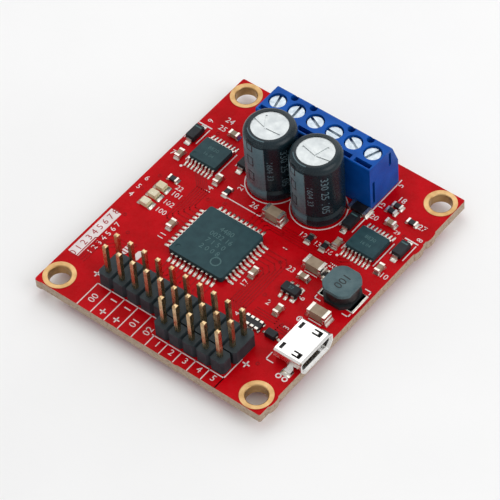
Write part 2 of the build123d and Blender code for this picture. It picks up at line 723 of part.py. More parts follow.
with BuildPart() as array_ends:
    with BuildSketch(on_board()):
        with Locations(*ARRAY_PADS):
            Rectangle(0.5, 0.38)
    extrude(amount=ARRAY_H + 2 * CAP_LIP)
    add(array.part, mode=Mode.SUBTRACT)
array_ends.part.label = "resistor_array_ends"
export_step(array_ends.part, "parts/resistor_array_ends.step")

with BuildPart() as led_bases:
    with BuildSketch(on_board()):
        with Locations(*LEDS):
            Rectangle(LED_X, LED_Y)
    extrude(amount=LED_BASE)
led_bases.part.label = "status_led_bases"
export_step(led_bases.part, "parts/status_led_bases.step")

with BuildPart() as led_lenses:
    with BuildSketch(on_board(0, 0, LED_BASE)):
        with Locations(*[(x + LENS_SHIFT, y) for x, y in LEDS]):
            Rectangle(LENS_X, LENS_Y)
    extrude(amount=LENS_H, taper=4)
led_lenses.part.label = "status_led_lenses"
export_step(led_lenses.part, "parts/status_led_lenses.step")


# ======== power inductor ========
BASE_TOP = FOOT_T + BASE_H
FLANGE_Z = COIL_H - FLANGE

with BuildPart() as coil_ends:
    with BuildSketch(on_board(*COIL)):
        with GridLocations(COIL_X - FOOT_X, 0, 2, 1):
            Rectangle(FOOT_X, FOOT_Y)
    extrude(amount=FOOT_T)
coil_ends.part.label = "inductor_terminals"
export_step(coil_ends.part, "parts/inductor_terminals.step")

with BuildPart() as drum:
    with BuildSketch(on_board(*COIL, FOOT_T)) as base:
        Rectangle(FLANGE_FLAT, COIL_Y)
        chamfer(base.vertices(), BASE_CUT)
    extrude(amount=BASE_H)
    with BuildSketch(on_board(*COIL, BASE_TOP)):
        Circle(POST_R)
    extrude(amount=FLANGE_Z - BASE_TOP)
    with BuildSketch(on_board(*COIL, FLANGE_Z)):
        Circle(FLANGE_R)
    flange = extrude(amount=FLANGE)
    fillet(flange.edges().filter_by(GeomType.CIRCLE).group_by(Axis.Z)[-1], FLANGE_ROUND)
    with BuildSketch(on_board(*COIL)):
        Rectangle(2 * COIL_X, 2 * COIL_Y)
        Rectangle(FLANGE_FLAT, COIL_Y, mode=Mode.SUBTRACT)
    extrude(amount=COIL_H, mode=Mode.SUBTRACT)
drum.part.label = "inductor_core"
export_step(drum.part, "parts/inductor_core.step")

with BuildPart() as winding:
    with BuildSketch(on_board(*COIL, BASE_TOP)):
        Circle(WINDING_R)
        Circle(POST_R, mode=Mode.SUBTRACT)
    extrude(amount=FLANGE_Z - BASE_TOP)
winding.part.label = "inductor_winding"
export_step(winding.part, "parts/inductor_winding.step")


# ======== micro-USB socket ========
def usb_outline(grow, mode=Mode.ADD):
    """Section of the socket: wide and flat on top, narrower at the board."""
    wide = USB_W / 2 + grow
    low = USB_W_LOW / 2 + grow
    with BuildLine() as wire:
        Polyline(
            (-low, USB_LOW - grow), (low, USB_LOW - grow), (wide, USB_SHOULDER), (wide, USB_H + grow),
            (-wide, USB_H + grow), (-wide, USB_SHOULDER), close=True,
        )
        fillet(wire.vertices(), USB_ROUND + grow)
    make_face(wire.edges(), mode=mode)


with BuildPart() as shell:
    with BuildSketch(facing_x(USB_REAR, USB_Y)):
        usb_outline(0)
    extrude(amount=USB_LIP - USB_REAR)
    with BuildSketch(facing_x(USB_LIP, USB_Y)):
        usb_outline(0)
    extrude(amount=USB_FLARE, taper=-25)
    with BuildSketch(facing_x(USB_REAR, USB_Y)):
        usb_outline(-USB_WALL)
    extrude(amount=USB_LIP - USB_REAR, mode=Mode.SUBTRACT)
    with BuildSketch(facing_x(USB_LIP, USB_Y)):
        usb_outline(-USB_WALL)
    extrude(amount=USB_FLARE, taper=-25, mode=Mode.SUBTRACT)
    # solder legs: a strip down each side and a foot on the board
    for side in (-1, 1):
        with BuildSketch(on_board(USB_LEG_X, USB_Y + side * (USB_W - USB_WALL) / 2)):
            Rectangle(USB_LEG, USB_WALL)
        extrude(amount=USB_LEG_H)
        with BuildSketch(on_board(USB_LEG_X, USB_Y + side * (USB_W / 2 + USB_FOOT_Y / 4))):
            Rectangle(USB_LEG, USB_FOOT_Y)
        extrude(amount=USB_FOOT_T)
    # latch windows with their spring fingers, and cuts at the rear corners
    with BuildSketch(on_board(LATCH_X, USB_Y, USB_H)):
        with GridLocations(0, LATCH_Y, 1, 2):
            Rectangle(1.5, 1.0)
        for side in (-1, 1):
            with Locations((-0.35, side * LATCH_Y / 2)):
                Rectangle(0.9, 0.4, mode=Mode.SUBTRACT)
            with Locations((-2.65, side * 2.2)):
                Rectangle(0.55, 1.2)
    extrude(amount=-1.5 * USB_WALL, mode=Mode.SUBTRACT)
shell.part.label = "usb_shell"
export_step(shell.part, "parts/usb_shell.step")

BLADE_TOP = USB_PIN_Z + USB_BLADE_T

with BuildPart() as usb_contacts:
    with BuildSketch(facing_y(0, USB_Y)):
        with BuildLine():
            Polyline(
                (USB_PIN_REAR, 0), (USB_REAR - USB_PIN_T, 0), (USB_REAR - USB_PIN_T, USB_PIN_Z),
                (USB_PIN_FRONT, USB_PIN_Z), (USB_PIN_FRONT, BLADE_TOP), (USB_REAR - 2 * USB_PIN_T, BLADE_TOP),
                (USB_REAR - 2 * USB_PIN_T, USB_PIN_T), (USB_PIN_REAR, USB_PIN_T), close=True,
            )
        make_face()
    extrude(amount=USB_W, both=True)
    with BuildSketch(on_board(USB_REAR, USB_Y)):
        with GridLocations(0, USB_PIN_PITCH, 1, USB_PINS):
            Rectangle(2 * USB_LIP, USB_PIN_W)
    extrude(amount=USB_H, mode=Mode.INTERSECT)
usb_contacts.part.label = "usb_contacts"
export_step(usb_contacts.part, "parts/usb_contacts.step")

with BuildPart() as insulator:
    with BuildSketch(facing_x(USB_REAR + 0.1, USB_Y)):
        usb_outline(-USB_WALL)
    extrude(amount=1.1)
    with BuildSketch(on_board(USB_PIN_FRONT - TONGUE_L / 2 + 0.2, USB_Y, BLADE_TOP)):
        Rectangle(TONGUE_L, TONGUE_W)
    extrude(amount=TONGUE_T)
    add(usb_contacts.part, mode=Mode.SUBTRACT)
insulator.part.label = "usb_insulator"
export_step(insulator.part, "parts/usb_insulator.step")
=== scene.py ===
import math

import bpy
from mathutils import Matrix, Vector


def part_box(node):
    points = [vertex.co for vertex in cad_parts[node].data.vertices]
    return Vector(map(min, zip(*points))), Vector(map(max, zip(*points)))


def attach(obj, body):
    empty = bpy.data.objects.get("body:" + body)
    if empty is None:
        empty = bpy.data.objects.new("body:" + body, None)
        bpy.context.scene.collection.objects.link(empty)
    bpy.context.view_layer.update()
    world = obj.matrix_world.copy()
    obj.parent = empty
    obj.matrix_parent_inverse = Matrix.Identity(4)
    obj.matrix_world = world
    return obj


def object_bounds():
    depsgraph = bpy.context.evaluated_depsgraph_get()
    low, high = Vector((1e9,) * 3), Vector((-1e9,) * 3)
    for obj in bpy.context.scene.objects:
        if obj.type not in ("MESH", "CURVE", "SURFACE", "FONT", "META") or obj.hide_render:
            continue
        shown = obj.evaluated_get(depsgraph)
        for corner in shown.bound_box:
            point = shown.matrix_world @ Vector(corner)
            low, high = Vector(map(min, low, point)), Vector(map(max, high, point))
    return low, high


# Looks of the driver board: materials for every CAD node, and the thin printed and soldered
# layers that the CAD model leaves out. Lengths below are millimetres in the CAD frame.

MM = 0.001

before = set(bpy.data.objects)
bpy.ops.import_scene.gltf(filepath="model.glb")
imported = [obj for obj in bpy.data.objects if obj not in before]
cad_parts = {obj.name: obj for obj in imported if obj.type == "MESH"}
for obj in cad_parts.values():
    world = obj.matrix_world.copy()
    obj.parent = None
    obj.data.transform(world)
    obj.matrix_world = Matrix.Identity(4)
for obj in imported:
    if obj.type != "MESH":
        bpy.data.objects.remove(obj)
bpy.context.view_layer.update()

BOARD = "board"
board_low, board_high = (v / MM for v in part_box("circuit_board"))
TOP = board_high.z                      # the board's component side
INK = 0.03                              # thickness of the printed legend
COPPER = 0.035                          # how proud a track stands under the mask
PAD = 0.05                              # thickness of a tinned pad

# ---- camera: angles in degrees, lens and sensor in millimetres of film ----
AZIMUTH = 42.38
ELEVATION = 50.33
ROLL = 4.88
DISTANCE = 428.9
AIM = (0.23, -0.72, 0.0)
LENS = 212.4
SENSOR = 36.0


# ======== shape helpers ========
class Shapes:
    """Closed solids gathered into one mesh."""

    def __init__(self):
        self.verts = []
        self.faces = []

    def stack(self, rings):
        """A solid through rings of the same number of points, from the lowest to the highest."""
        count = len(rings[0])
        start = len(self.verts)
        for ring in rings:
            self.verts.extend(ring)
        self.faces.append([start + i for i in reversed(range(count))])
        for level in range(len(rings) - 1):
            low = start + level * count
            for i in range(count):
                j = (i + 1) % count
                self.faces.append([low + i, low + j, low + count + j, low + count + i])
        last = start + (len(rings) - 1) * count
        self.faces.append([last + i for i in range(count)])

    def slab(self, outline, low, high):
        """A flat plate with this outline."""
        self.stack([[(x, y, z) for x, y in outline] for z in (low, high)])

    def ring(self, x, y, radius, width, low, high, steps=40):
        """A flat ring."""
        start = len(self.verts)
        for i in range(steps):
            angle = 2 * math.pi * i / steps
            for r in (radius - width / 2, radius + width / 2):
                for z in (low, high):
                    self.verts.append((x + r * math.cos(angle), y + r * math.sin(angle), z))
        for i in range(steps):
            a = start + 4 * i
            b = start + 4 * ((i + 1) % steps)
            for p, q in ((0, 2), (2, 3), (3, 1), (1, 0)):
                self.faces.append([a + p, a + q, b + q, b + p])

    def line(self, start, end, width, low, high):
        """A straight flat bar from start to end."""
        a, b = Vector(start), Vector(end)
        along = (b - a).normalized() * width / 2
        side = Vector((-along.y, along.x))
        corners = [a - along - side, b + along - side, b + along + side, a - along + side]
        self.slab([(p.x, p.y) for p in corners], low, high)

    def path(self, points, width, low, high):
        """A flat bar that follows these points."""
        for start, end in zip(points, points[1:]):
            self.line(start, end, width, low, high)

    def digits(self, text, x, y, size, turn, place):
        """Figures as thin raised shapes. place turns a flat point and a step up into a 3-D point."""
        curve = bpy.data.curves.new("figures", "FONT")
        curve.body = text
        curve.align_x = "CENTER"
        curve.align_y = "CENTER"
        curve.resolution_u = 2
        holder = bpy.data.objects.new("figures", curve)
        bpy.context.scene.collection.objects.link(holder)
        bpy.context.view_layer.update()
        flat = bpy.data.meshes.new_from_object(holder)
        bpy.data.objects.remove(holder)
        spin = Matrix.Rotation(math.radians(turn), 2)
        middle = Vector((x, y))
        spots = [spin @ Vector((v.co.x * size, v.co.y * size)) + middle for v in flat.vertices]
        start = len(self.verts)
        count = len(spots)
        self.verts.extend(place(p.x, p.y, 1) for p in spots)
        self.verts.extend(place(p.x, p.y, 0) for p in spots)
        edge_use = {}
        for polygon in flat.polygons:
            ring = list(polygon.vertices)
            self.faces.append([start + i for i in ring])
            self.faces.append([start + count + i for i in reversed(ring)])
            for a, b in zip(ring, ring[1:] + ring[:1]):
                edge_use[(a, b)] = True
        for a, b in edge_use:
            if (b, a) not in edge_use:
                self.faces.append([start + b, start + a, start + count + a, start + count + b])
        bpy.data.meshes.remove(flat)

    def build(self, name, material, body=BOARD, smooth=False):
        """The gathered solids as one object that rides on a CAD body."""
        mesh = bpy.data.meshes.new(name)
        mesh.from_pydata([tuple(c * MM for c in v) for v in self.verts], [], self.faces)
        mesh.validate()
        mesh.polygons.foreach_set("use_smooth", [smooth] * len(mesh.polygons))
        mesh.materials.append(material)
        thing = bpy.data.objects.new(name, mesh)
        bpy.context.scene.collection.objects.link(thing)
        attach(thing, body)
        return thing


def rectangle(x, y, width, depth, corner=0.0, steps=3):
    """Outline of a rectangle, with rounded corners if asked."""
    corner = min(corner, width / 2, depth / 2)
    if corner <= 0:
        signs = ((-1, -1), (1, -1), (1, 1), (-1, 1))
        return [(x + sx * width / 2, y + sy * depth / 2) for sx, sy in signs]
    points = []
    for quarter, (sx, sy) in enumerate(((1, 1), (-1, 1), (-1, -1), (1, -1))):
        for step in range(steps + 1):
            angle = math.pi / 2 * (quarter + step / steps)
            points.append((
                x + sx * (width / 2 - corner) + corner * math.cos(angle),
                y + sy * (depth / 2 - corner) + corner * math.sin(angle),
            ))
    return points


def circle(x, y, radius, steps=24):
    """Outline of a circle."""
    turn = 2 * math.pi / steps
    return [(x + radius * math.cos(turn * i), y + radius * math.sin(turn * i)) for i in range(steps)]


def solids(node):
    """Boxes (low, high) of the separate solids of one CAD node, in millimetres, sorted."""
    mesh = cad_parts[node].data
    keys = [tuple(round(c / MM, 3) for c in v.co) for v in mesh.vertices]
    leader = {key: key for key in keys}

    def find(key):
        while leader[key] != key:
            leader[key] = leader[leader[key]]
            key = leader[key]
        return key

    for polygon in mesh.polygons:
        ring = [keys[i] for i in polygon.vertices]
        for other in ring[1:]:
            leader[find(other)] = find(ring[0])
    members = {}
    for key in leader:
        members.setdefault(find(key), []).append(key)
    boxes = [
        (Vector([min(axis) for axis in zip(*points)]), Vector([max(axis) for axis in zip(*points)]))
        for points in members.values()
    ]
    return sorted(boxes, key=lambda box: tuple(round(c, 2) for c in (*box[0], *box[1])))


def box_of(node):
    """Lowest and highest corner of a CAD node, in millimetres."""
    low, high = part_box(node)
    return low / MM, high / MM


def centre(node):
    """Middle of a CAD node, in millimetres."""
    low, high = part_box(node)
    return (low + high) / 2 / MM


# ======== materials ========
SPECULAR = 0.25                         # strength of the plain reflection, unless stated
NOISE_LOW, NOISE_HIGH = 0.3, 0.7        # where most values of a noise texture lie


def shader_of(name):
    """A new material and its tree, shader and millimetre coordinates."""
    material = bpy.data.materials.new(name)
    material.use_nodes = True
    tree = material.node_tree
    shader = tree.nodes["Principled BSDF"]
    coordinates = tree.nodes.new("ShaderNodeTexCoord")
    scale = tree.nodes.new("ShaderNodeMapping")
    scale.inputs["Scale"].default_value = (1 / MM, 1 / MM, 1 / MM)
    tree.links.new(coordinates.outputs["Object"], scale.inputs["Vector"])
    return material, tree, shader, scale


def noise(tree, source, grain, stretch=(1, 1, 1), detail=3.0):
    """Noise with this many features per millimetre, stretched if asked."""
    squash = tree.nodes.new("ShaderNodeMapping")
    squash.inputs["Scale"].default_value = stretch
    tree.links.new(source.outputs["Vector"], squash.inputs["Vector"])
    texture = tree.nodes.new("ShaderNodeTexNoise")
    texture.inputs["Scale"].default_value = grain
    texture.inputs["Detail"].default_value = detail
    tree.links.new(squash.outputs["Vector"], texture.inputs["Vector"])
    return texture


def spread(tree, texture, low, high):
    """A noise value moved into a range."""
    remap = tree.nodes.new("ShaderNodeMapRange")
    remap.inputs["From Min"].default_value = NOISE_LOW
    remap.inputs["From Max"].default_value = NOISE_HIGH
    remap.inputs["To Min"].default_value = low
    remap.inputs["To Max"].default_value = high
    tree.links.new(texture.outputs["Fac"], remap.inputs["Value"])
    return remap


def mix(tree, factor, first, second):
    """Two colours mixed by a value. Each colour is a tuple or a socket."""
    blend = tree.nodes.new("ShaderNodeMix")
    blend.data_type = "RGBA"
    tree.links.new(factor, blend.inputs["Factor"])
    for name, colour in (("A", first), ("B", second)):
        socket = [s for s in blend.inputs if s.name == name and s.type == "RGBA"][0]
        if isinstance(colour, tuple):
            socket.default_value = (*colour, 1)
        else:
            tree.links.new(colour, socket)
    return [s for s in blend.outputs if s.type == "RGBA"][0]


def bumps(tree, shader, texture, height, strength=0.5):
    """Surface relief of this height in millimetres."""
    relief = tree.nodes.new("ShaderNodeBump")
    relief.inputs["Distance"].default_value = height * MM
    relief.inputs["Strength"].default_value = strength
    tree.links.new(texture.outputs["Fac"], relief.inputs["Height"])
    tree.links.new(relief.outputs["Normal"], shader.inputs["Normal"])


def finish(name, dark, light, rough, metal=0.0, *, grain=6.0, mottle=0.5, relief=0.01,
           stretch=(1, 1, 1), **sockets):
    """A material with two tones, uneven gloss and fine relief."""
    material, tree, shader, scale = shader_of(name)
    broad = noise(tree, scale, mottle)
    fine = noise(tree, scale, grain, stretch)
    tone = mix(tree, spread(tree, broad, 0.0, 1.0).outputs["Result"], dark, light)
    tree.links.new(tone, shader.inputs["Base Color"])
    gloss = spread(tree, fine, rough[0], rough[1])
    tree.links.new(gloss.outputs["Result"], shader.inputs["Roughness"])
    shader.inputs["Metallic"].default_value = metal
    bumps(tree, shader, fine, relief)
    shader.inputs["Specular IOR Level"].default_value = SPECULAR
    for socket, value in sockets.items():
        shader.inputs[socket.replace("_", " ")].default_value = value
    return material


def laminate_edge():
    """Sawn glass laminate: pale brown, with fibres along the board and dark charred specks."""
    material, tree, shader, scale = shader_of("laminate_edge")
    fibres = noise(tree, scale, 3.0, (1, 1, 7))
    specks = noise(tree, scale, 2.2)
    bare = spread(tree, fibres, 0, 1).outputs["Result"]
    base = mix(tree, bare, (0.30, 0.20, 0.13), (0.52, 0.42, 0.32))
    stain = spread(tree, specks, -0.6, 0.55).outputs["Result"]
    stained = mix(tree, stain, base, (0.20, 0.08, 0.05))
    tree.links.new(stained, shader.inputs["Base Color"])
    tree.links.new(spread(tree, fibres, 0.6, 0.9).outputs["Result"], shader.inputs["Roughness"])
    bumps(tree, shader, fibres, 0.05, 0.8)
    return material


RED_MASK = finish(
    "red_mask", (0.40, 0.0010, 0.0035), (0.52, 0.0016, 0.0065),
    (0.22, 0.34), grain=1.6, mottle=0.35, relief=0.012, Specular_IOR_Level=0.05,
)
TRACK_MASK = finish(
    "track_mask", (0.29, 0.0008, 0.0028), (0.38, 0.0012, 0.0045),
    (0.22, 0.36), grain=2.5, mottle=0.6, relief=0.012, Specular_IOR_Level=0.09,
)
LAMINATE = laminate_edge()
LEGEND = finish(
    "legend_ink", (0.66, 0.58, 0.57), (0.80, 0.73, 0.72),
    (0.5, 0.75), grain=9.0, relief=0.01,
)
LEGEND_RED = finish(
    "legend_gap", (0.30, 0.01, 0.015), (0.36, 0.015, 0.02),
    (0.4, 0.55), grain=9.0, relief=0.01,
)
GOLD = finish(
    "gold_plating", (0.42, 0.25, 0.10), (0.58, 0.38, 0.18),
    (0.26, 0.42), 1.0, grain=7.0, mottle=0.8, relief=0.008,
)
PIN_GOLD = finish(
    "pin_gold", (0.50, 0.33, 0.16), (0.74, 0.56, 0.33),
    (0.2, 0.36), 1.0, grain=8.0, mottle=1.2, relief=0.006, stretch=(1, 1, 0.15),
)
TIN = finish(
    "bright_tin", (0.58, 0.55, 0.49), (0.80, 0.77, 0.71),
    (0.22, 0.42), 1.0, grain=7.0, mottle=1.6,
)
SOLDER = finish(
    "solder", (0.52, 0.49, 0.44), (0.80, 0.76, 0.69),
    (0.2, 0.42), 1.0, grain=5.0, mottle=1.5, relief=0.02,
)
MOULDING = finish(
    "chip_moulding", (0.009, 0.040, 0.050), (0.016, 0.058, 0.068),
    (0.42, 0.62), grain=16.0, mottle=0.8, relief=0.012,
)
DIODE_MOULDING = finish(
    "diode_moulding", (0.006, 0.009, 0.012), (0.014, 0.019, 0.024),
    (0.38, 0.56), grain=12.0, mottle=1.0, relief=0.01,
)
LASER = finish(
    "laser_mark", (0.050, 0.115, 0.120), (0.085, 0.160, 0.165),
    (0.6, 0.8), grain=20.0, mottle=4.0,
)
HEADER = finish(
    "header_nylon", (0.016, 0.026, 0.032), (0.030, 0.044, 0.052),
    (0.38, 0.58), grain=8.0, mottle=0.7, relief=0.015,
)
TERMINAL = finish(
    "terminal_blue", (0.001, 0.058, 0.30), (0.003, 0.095, 0.45),
    (0.28, 0.46), grain=5.0, mottle=0.25, relief=0.015, Specular_IOR_Level=0.12,
)
SCREW = finish(
    "zinc_screw", (0.36, 0.42, 0.47), (0.58, 0.64, 0.69),
    (0.22, 0.45), 1.0, grain=6.0, mottle=1.5, relief=0.012,
)
CLAMP = finish(
    "plated_clamp", (0.45, 0.44, 0.42), (0.62, 0.61, 0.58),
    (0.3, 0.5), 1.0, grain=6.0, relief=0.01,
)
CONTACT = finish(
    "contact_brass", (0.60, 0.48, 0.27), (0.72, 0.62, 0.42),
    (0.25, 0.45), 1.0, grain=6.0, relief=0.008,
)
ALUMINIUM = finish(
    "can_aluminium", (0.46, 0.49, 0.50), (0.59, 0.62, 0.62),
    (0.3, 0.5), 1.0, grain=4.0, mottle=0.9, relief=0.008, stretch=(4, 1, 1),
)
SLEEVE = finish(
    "shrink_sleeve", (0.004, 0.011, 0.016), (0.007, 0.019, 0.026),
    (0.24, 0.34), grain=4.0, mottle=0.2, relief=0.005, Specular_IOR_Level=0.3,
)
STRIPE = finish(
    "sleeve_stripe", (0.085, 0.140, 0.165), (0.115, 0.180, 0.205),
    (0.24, 0.36), grain=4.0, mottle=0.3, relief=0.005,
)
SEAL = finish(
    "seal_rubber", (0.018, 0.018, 0.018), (0.03, 0.03, 0.03),
    (0.6, 0.85), grain=6.0, relief=0.02,
)
USB_STEEL = finish(
    "usb_steel", (0.80, 0.79, 0.77), (0.93, 0.92, 0.90),
    (0.2, 0.36), 1.0, grain=5.0, mottle=0.8, relief=0.008,
)
USB_PLASTIC = finish(
    "usb_plastic", (0.012, 0.012, 0.013), (0.025, 0.025, 0.026),
    (0.4, 0.6), grain=8.0,
)
FERRITE = finish(
    "ferrite", (0.055, 0.100, 0.112), (0.095, 0.150, 0.162),
    (0.5, 0.75), grain=7.0, mottle=0.8, relief=0.03,
)
FERRITE_BASE = finish(
    "ferrite_base", (0.010, 0.013, 0.015), (0.022, 0.026, 0.028),
    (0.3, 0.5), grain=7.0, relief=0.02,
)
FERRITE_MARK = finish(
    "ferrite_mark", (0.02, 0.024, 0.026), (0.035, 0.038, 0.04),
    (0.5, 0.7), grain=9.0,
)
WINDING = finish(
    "winding", (0.010, 0.011, 0.013), (0.026, 0.024, 0.024),
    (0.25, 0.45), grain=1.2, mottle=0.8, relief=0.12, stretch=(0.2, 0.2, 5),
)
CERAMIC = finish(
    "ceramic_tan", (0.26, 0.19, 0.13), (0.36, 0.28, 0.20),
    (0.35, 0.55), grain=9.0, mottle=1.0, relief=0.01,
)
RESISTOR = finish(
    "resistor_glaze", (0.008, 0.008, 0.010), (0.02, 0.02, 0.024),
    (0.25, 0.42), grain=8.0,
)
LED_BASE = finish(
    "led_base", (0.62, 0.52, 0.30), (0.78, 0.70, 0.46),
    (0.35, 0.55), grain=8.0,
)
LED_LENS = finish(
    "led_lens", (0.78, 0.66, 0.40), (0.93, 0.86, 0.66),
    (0.15, 0.3), grain=5.0, Transmission_Weight=0.25, IOR=1.5,
)

NODE_MATERIALS = {
    "mounting_hole_rings": GOLD,
    "header_pins": PIN_GOLD,
    "header_housing": HEADER,
    "terminal_housing": TERMINAL,
    "terminal_screw": SCREW,
    "terminal_clamp": CLAMP,
    "terminal_contacts": CONTACT,
    "solder_joints": SOLDER,
    "capacitor_a_can": ALUMINIUM,
    "capacitor_b_can": ALUMINIUM,
    "capacitor_a_sleeve": SLEEVE,
    "capacitor_b_sleeve": SLEEVE,
    "capacitor_a_seal": SEAL,
    "capacitor_b_seal": SEAL,
    "usb_shell": USB_STEEL,
    "usb_contacts": GOLD,
    "usb_insulator": USB_PLASTIC,
    "inductor_core": FERRITE,
    "inductor_winding": WINDING,
    "inductor_terminals": TIN,
    "ceramic_capacitors_large_bodies": CERAMIC,
    "ceramic_capacitors_small_bodies": CERAMIC,
    "resistor_array_body": RESISTOR,
    "resistor_large_body": RESISTOR,
    "resistors_small_bodies": RESISTOR,
    "power_diode_bodies": DIODE_MOULDING,
    "signal_diode_body": DIODE_MOULDING,
    "regulator_body": DIODE_MOULDING,
    "microcontroller_body": MOULDING,
    "motor_driver_a_body": MOULDING,
    "motor_driver_b_body": MOULDING,
    "status_led_bases": LED_BASE,
    "status_led_lenses": LED_LENS,
}


FLAT = 0.9                              # a normal with more Z than this faces up or down


def dress_nodes():
    """Every CAD node gets its material; what is left over is tinned metal."""
    for name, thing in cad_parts.items():
        chosen = [material for start, material in NODE_MATERIALS.items() if name.startswith(start)]
        thing.data.materials.clear()
        thing.data.materials.append(chosen[0] if chosen else TIN)
    two_tone("circuit_board", RED_MASK, LAMINATE, lambda polygon: abs(polygon.normal.z) < FLAT)
    waist = centre("inductor_winding").z * MM
    two_tone("inductor_core", FERRITE, FERRITE_BASE, lambda polygon: polygon.center.z < waist)


def two_tone(node, main, other, belongs):
    """A CAD node in two materials; belongs picks the faces of the second one."""
    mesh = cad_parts[node].data
    mesh.materials.clear()
    mesh.materials.append(main)
    mesh.materials.append(other)
    for polygon in mesh.polygons:
        polygon.material_index = 1 if belongs(polygon) else 0


# ======== tinned pads and solder ========
SIDE_PAD = 0.12                         # how far a pad reaches past a terminal's sides
INNER_PAD = 0.03                        # and past its inner end
PAD_CORNER = 0.12
FILLET_CURVE = ((0.45, 0.22), (0.15, 0.55))     # shares of the reach left, at shares of the height
FILLET_TIP = 0.02                       # share of the reach left at the top
CAP_FILLET = 0.65                       # a chip's fillet, as a share of its end cap's height
LEAD_FILLET = 0.16                      # height of the fillet at a bent lead
LEAD_SHRINK = 0.08                      # a lead's sides stand this far inside its box

CHIP_PARTS = (
    # end caps, bodies, reach of the solder
    ("ceramic_capacitors_large_ends", "ceramic_capacitors_large_bodies", 0.45),
    ("ceramic_capacitors_small_ends", "ceramic_capacitors_small_bodies", 0.3),
    ("resistors_small_ends", "resistors_small_bodies", 0.28),
    ("resistor_large_ends", "resistor_large_body", 0.4),
    ("resistor_array_ends", "resistor_array_body", 0.3),
)
LEADED_PARTS = (
    # part, length of the lead's foot, reach of the solder
    ("microcontroller", 0.6, 0.4),
    ("motor_driver_a", 0.6, 0.5),
    ("motor_driver_b", 0.6, 0.5),
    ("regulator", 0.45, 0.3),
    ("signal_diode", 0.3, 0.3),
)
POWER_DIODE_FOOT, POWER_DIODE_REACH = 0.35, 0.4
LED_END = 0.3                           # width of a light's terminal, and its fillet's height
LED_REACH = 0.35
INDUCTOR_REACH, INDUCTOR_FILLET = 0.35, 0.12
USB_LEG_X = 19.2                        # the shell's legs
USB_LEG_PAD = (1.7, 1.4, 0.2)           # width, depth and corner
USB_CONTACT_PAD = (1.0, 0.38, 0.08)


def fillet_mound(shapes, low, high, out, reach, height):
    """Pad and concave solder fillet at one terminal. out is the way out of the part, in x and y."""
    levels = [(1.0, 0.0), (1.0, PAD)]
    levels += [(share, PAD + rise * height) for share, rise in FILLET_CURVE]
    levels.append((FILLET_TIP, height))
    rings = []
    for share, z in levels:
        grow = [SIDE_PAD * share] * 4
        for index, way in enumerate((-out[0], out[0], -out[1], out[1])):
            if way > 0:
                grow[index] = reach * share
            elif way < 0:
                grow[index] = INNER_PAD
        x0, x1 = low.x - grow[0], high.x + grow[1]
        y0, y1 = low.y - grow[2], high.y + grow[3]
        outline = rectangle((x0 + x1) / 2, (y0 + y1) / 2, x1 - x0, y1 - y0, PAD_CORNER)
        rings.append([(x, y, TOP + z) for x, y in outline])
    shapes.stack(rings)


def way_out(low, high, middle):
    """The side of a component that one of its terminals is on."""
    x = (low.x + high.x) / 2 - middle.x
    y = (low.y + high.y) / 2 - middle.y
    return (math.copysign(1, x), 0) if abs(x) > abs(y) else (0, math.copysign(1, y))


def chip_solder(shapes, ends, bodies, reach):
    """Fillets at both ends of every chip component of one pair of nodes."""
    middles = [(low + high) / 2 for low, high in solids(bodies)]
    for low, high in solids(ends):
        here = (low + high) / 2
        middle = min(middles, key=lambda m: (m - here).length)
        fillet_mound(shapes, low, high, way_out(low, high, middle), reach, CAP_FILLET * (high.z - TOP))


def lead_pads(shapes, node, middles, foot, reach):
    """A pad with a low fillet under each bent lead."""
    for low, high in solids(node):
        here = (low + high) / 2
        middle = min(middles, key=lambda m: (m - here).length)
        x_way, y_way = way_out(low, high, middle)
        if x_way:
            toe = high.x if x_way > 0 else low.x
            low.x, high.x = min(toe, toe - x_way * foot), max(toe, toe - x_way * foot)
        else:
            toe = high.y if y_way > 0 else low.y
            low.y, high.y = min(toe, toe - y_way * foot), max(toe, toe - y_way * foot)
        side = 1 if x_way else 0
        low[side] += LEAD_SHRINK
        high[side] -= LEAD_SHRINK
        fillet_mound(shapes, low, high, (x_way, y_way), reach, LEAD_FILLET)


def make_solder():
    """All the tinned pads on the component side."""
    chips = Shapes()
    for ends, bodies, reach in CHIP_PARTS:
        chip_solder(chips, ends, bodies, reach)
    for low, high in solids("status_led_bases"):
        for way in (-1, 1):
            end_low, end_high = low.copy(), high.copy()
            if way > 0:
                end_low.x = high.x - LED_END
            else:
                end_high.x = low.x + LED_END
            fillet_mound(chips, end_low, end_high, (way, 0), LED_REACH, LED_END)
    coil = centre("inductor_terminals")
    for low, high in solids("inductor_terminals"):
        fillet_mound(chips, low, high, way_out(low, high, coil), INDUCTOR_REACH, INDUCTOR_FILLET)
    chips.build("chip_solder", SOLDER, smooth=True)

    leads = Shapes()
    for part, foot, reach in LEADED_PARTS:
        lead_pads(leads, f"{part}_leads", [centre(f"{part}_body")], foot, reach)
    diodes = [(low + high) / 2 for low, high in solids("power_diode_bodies")]
    lead_pads(leads, "power_diode_leads", diodes, POWER_DIODE_FOOT, POWER_DIODE_REACH)
    shell_low, shell_high = box_of("usb_shell")
    for y in (shell_low.y, shell_high.y):
        leads.slab(rectangle(USB_LEG_X, y, *USB_LEG_PAD), TOP, TOP + PAD)
    for low, high in solids("usb_contacts"):
        pad = rectangle(low.x + 0.05, (low.y + high.y) / 2, *USB_CONTACT_PAD)
        leads.slab(pad, TOP, TOP + PAD)
    leads.build("lead_solder", SOLDER, smooth=True)


